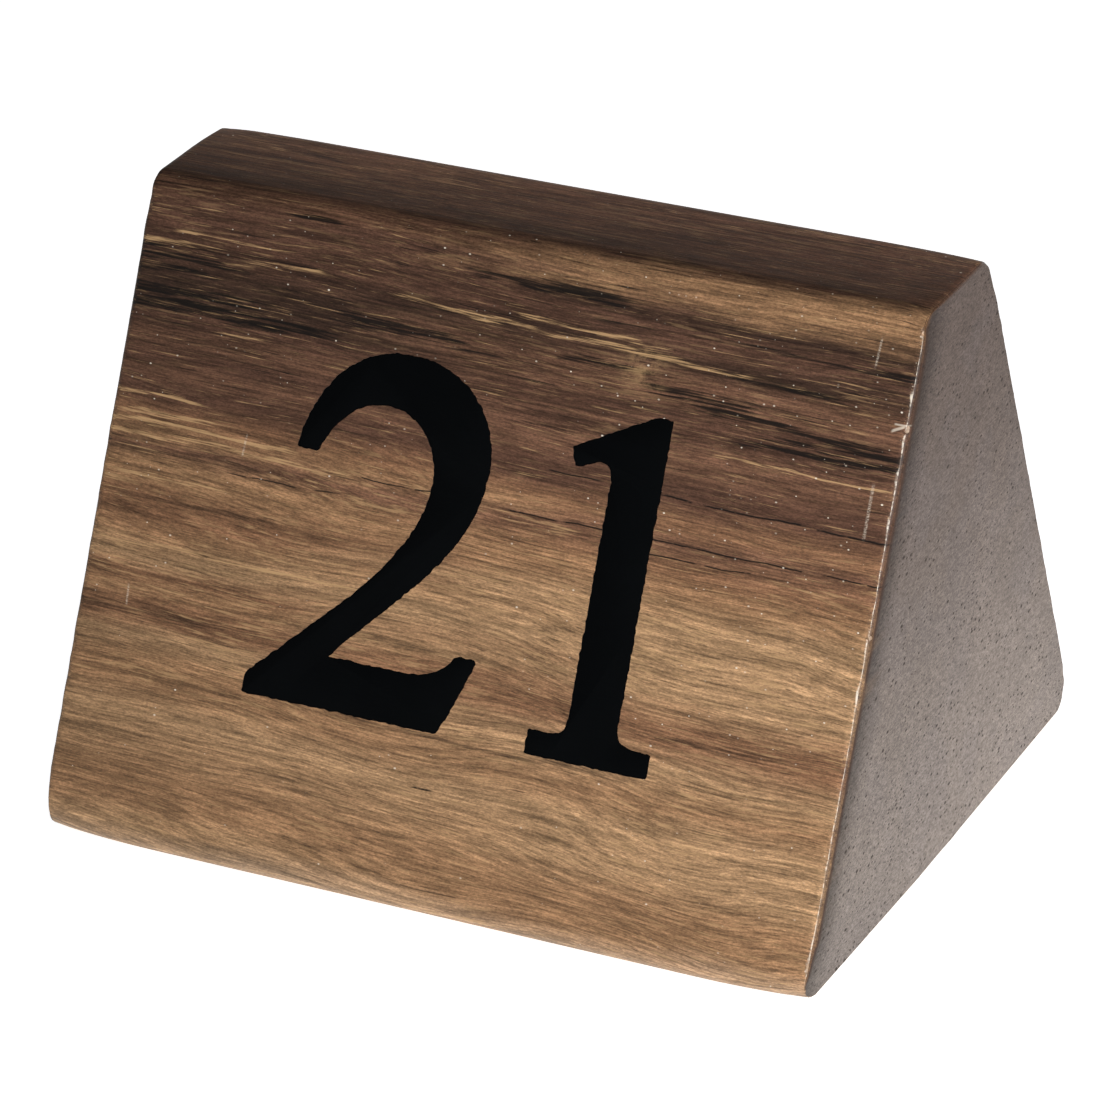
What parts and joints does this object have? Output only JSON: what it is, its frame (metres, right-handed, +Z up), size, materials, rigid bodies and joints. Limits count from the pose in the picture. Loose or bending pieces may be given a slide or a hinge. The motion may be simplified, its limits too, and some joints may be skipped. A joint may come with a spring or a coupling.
{
  "type": "table number block",
  "caption": "Free-standing hardwood block, trapezoid in section, with a black inlaid table number on each of its two sloping faces.",
  "frame": {"origin": "middle of the base, on the surface that the block stands on", "axes": "+X along the block and its grain, -Y the front number face's side, +Z up"},
  "size_m": [0.075, 0.0626, 0.0555],
  "materials": {
    "wood": "brown acacia-like hardwood, grain along X, thin satin lacquer on the long faces, matt end grain",
    "paint": "black paint, satin to matt, level with the wood"
  },
  "bodies": {
    "root": {"wood_block": "wood", "numeral_two_front": "paint", "numeral_one_front": "paint", "numeral_two_back": "paint", "numeral_one_back": "paint"}
  },
  "joints": []
}
